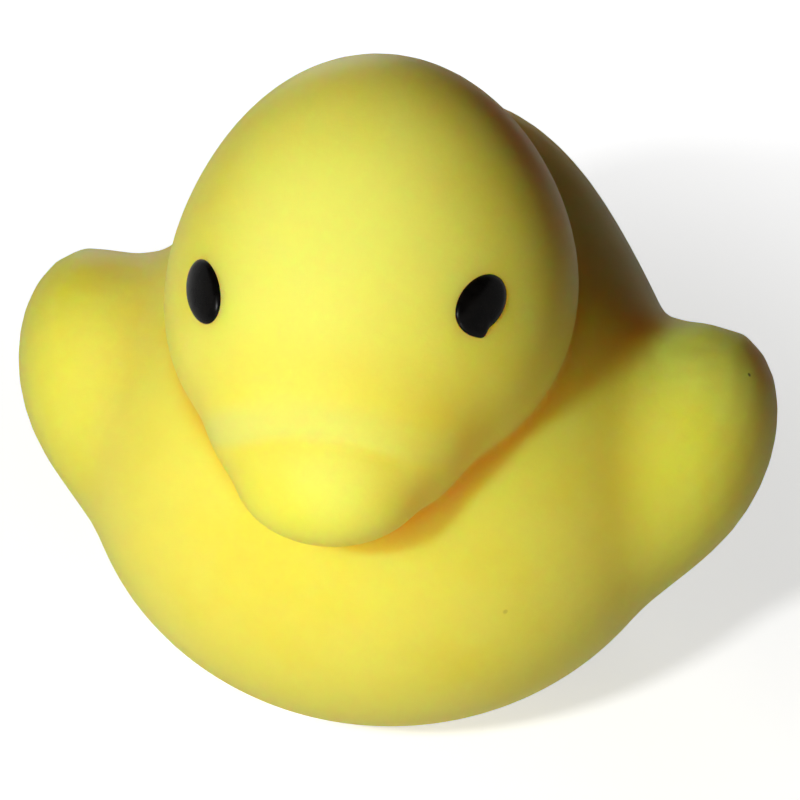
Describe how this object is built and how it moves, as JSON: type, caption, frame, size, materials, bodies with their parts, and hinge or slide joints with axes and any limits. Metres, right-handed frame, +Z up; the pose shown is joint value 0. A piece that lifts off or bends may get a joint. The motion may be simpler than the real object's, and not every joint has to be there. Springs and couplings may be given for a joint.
{
  "type": "chick fidget toy",
  "caption": "Soft one-piece squeeze toy in the shape of a round chick with a broad bill, side wings, a raised tail and painted eyes, flat underneath so that it stands.",
  "frame": {"origin": "middle of the flat underside, on the surface that the toy stands on", "axes": "+Z up, -Y the way the face looks, +X to the toy's own left"},
  "size_m": [0.0423, 0.0399, 0.0371],
  "materials": {
    "gel_rubber": "satin",
    "eye_paint": "gloss"
  },
  "bodies": {
    "root": {"body": "gel_rubber", "right_eye": "eye_paint", "left_eye": "eye_paint"}
  },
  "joints": []
}
